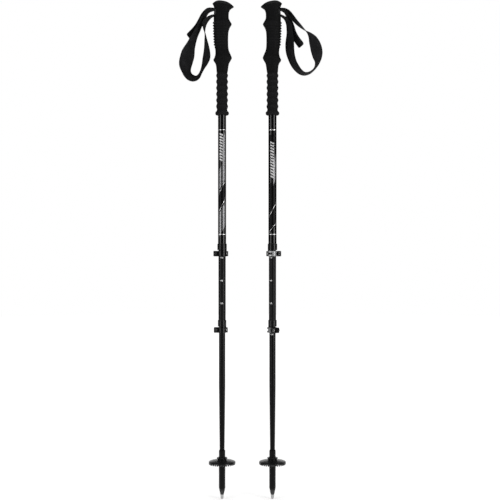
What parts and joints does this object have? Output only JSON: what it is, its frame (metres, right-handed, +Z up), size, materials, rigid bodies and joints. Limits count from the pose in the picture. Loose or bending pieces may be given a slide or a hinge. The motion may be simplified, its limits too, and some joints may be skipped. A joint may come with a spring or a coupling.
{
  "type": "trekking poles",
  "caption": "Pair of telescoping trekking poles with lever locks, moulded grips on ringed foam, wrist straps, round toothed baskets and hard metal tips.",
  "frame": {"origin": "in the middle of the pair with its straps, at the level of the tips", "axes": "+Z up along the poles, +X from the left pole to the right one as the picture shows them, +Y away from the viewer"},
  "size_m": [0.3175, 0.059, 1.0973],
  "materials": {
    "grip_rubber": "matt, finely grained",
    "cap_plastic": "satin",
    "foam": "matt foam",
    "webbing": "woven",
    "inner_plastic": "plain",
    "steel": "turned",
    "printed_tube": "gloss with a grey and white print",
    "satin_tube": "satin, anodised",
    "lock_plastic": "semi-gloss",
    "lever_alloy": "grey, satin",
    "tip_plastic": "semi-gloss",
    "basket_plastic": "matt",
    "hard_metal": "bright, ground"
  },
  "bodies": {
    "left_upper": {"left_grip": "grip_rubber", "left_grip_cap": "cap_plastic", "left_grip_extension": "foam", "left_strap_neck": "webbing", "left_strap_wedge": "inner_plastic", "left_strap_pin": "steel", "left_tube_plug": "inner_plastic", "left_upper_tube": "printed_tube", "left_upper_lock_collar": "lock_plastic", "left_upper_lock_pin": "steel", "left_upper_lock_screw": "steel"},
    "left_strap": {"left_strap_loop": "webbing"},
    "left_upper_lever": {"left_upper_lock_lever": "lever_alloy"},
    "left_middle": {"left_middle_tube": "satin_tube", "left_middle_bushing": "inner_plastic", "left_lower_lock_collar": "lock_plastic", "left_lower_lock_pin": "steel", "left_lower_lock_screw": "steel"},
    "left_lower_lever": {"left_lower_lock_lever": "lever_alloy"},
    "left_lower": {"left_lower_tube": "satin_tube", "left_lower_bushing": "inner_plastic", "left_tip_ferrule": "tip_plastic", "left_basket": "basket_plastic", "left_tip": "hard_metal"},
    "right_upper": {"right_grip": "grip_rubber", "right_grip_cap": "cap_plastic", "right_grip_extension": "foam", "right_strap_neck": "webbing", "right_strap_wedge": "inner_plastic", "right_strap_pin": "steel", "right_tube_plug": "inner_plastic", "right_upper_tube": "printed_tube", "right_upper_lock_collar": "lock_plastic", "right_upper_lock_pin": "steel", "right_upper_lock_screw": "steel"},
    "right_strap": {"right_strap_loop": "webbing"},
    "right_upper_lever": {"right_upper_lock_lever": "lever_alloy"},
    "right_middle": {"right_middle_tube": "satin_tube", "right_middle_bushing": "inner_plastic", "right_lower_lock_collar": "lock_plastic", "right_lower_lock_pin": "steel", "right_lower_lock_screw": "steel"},
    "right_lower_lever": {"right_lower_lock_lever": "lever_alloy"},
    "right_lower": {"right_lower_tube": "satin_tube", "right_lower_bushing": "inner_plastic", "right_tip_ferrule": "tip_plastic", "right_basket": "basket_plastic", "right_tip": "hard_metal"}
  },
  "joints": [
    {"name": "left_middle_slide", "type": "slide", "parent": "left_upper", "child": "left_middle", "axis": [0, 0, 1], "range_m": [-0.2, 0.139]},
    {"name": "left_lower_slide", "type": "slide", "parent": "left_middle", "child": "left_lower", "axis": [0, 0, 1], "range_m": [-0.09, 0.257]},
    {"name": "left_upper_lever_hinge", "type": "hinge", "parent": "left_upper", "child": "left_upper_lever", "pos_m": [-0.0781, 0.0087, 0.54], "axis": [0, 0, 1], "range_deg": [0, 140]},
    {"name": "left_lower_lever_hinge", "type": "hinge", "parent": "left_middle", "child": "left_lower_lever", "pos_m": [-0.0771, 0.0087, 0.372], "axis": [0, 0, 1], "range_deg": [0, 140]},
    {"name": "left_strap_swing", "type": "hinge", "parent": "left_upper", "child": "left_strap", "pos_m": [-0.0825, 0, 1.071], "axis": [0, 1, 0], "range_deg": [-4, 85], "deforming": ["left_strap_neck"]},
    {"name": "right_pole_apart", "type": "slide", "parent": "left_upper", "child": "right_upper", "axis": [1, 0, 0], "range_m": [0, 0.5]},
    {"name": "right_middle_slide", "type": "slide", "parent": "right_upper", "child": "right_middle", "axis": [0, 0, 1], "range_m": [-0.2, 0.139]},
    {"name": "right_lower_slide", "type": "slide", "parent": "right_middle", "child": "right_lower", "axis": [0, 0, 1], "range_m": [-0.09, 0.257]},
    {"name": "right_upper_lever_hinge", "type": "hinge", "parent": "right_upper", "child": "right_upper_lever", "pos_m": [0.0621, -0.0087, 0.54], "axis": [0, 0, 1], "range_deg": [0, 140]},
    {"name": "right_lower_lever_hinge", "type": "hinge", "parent": "right_middle", "child": "right_lower_lever", "pos_m": [0.04958, -0.01601, 0.372], "axis": [0, 0, 1], "range_deg": [0, 140]},
    {"name": "right_strap_swing", "type": "hinge", "parent": "right_upper", "child": "right_strap", "pos_m": [0.0665, 0, 1.071], "axis": [0, -1, 0], "range_deg": [-4, 85], "deforming": ["right_strap_neck"]}
  ]
}
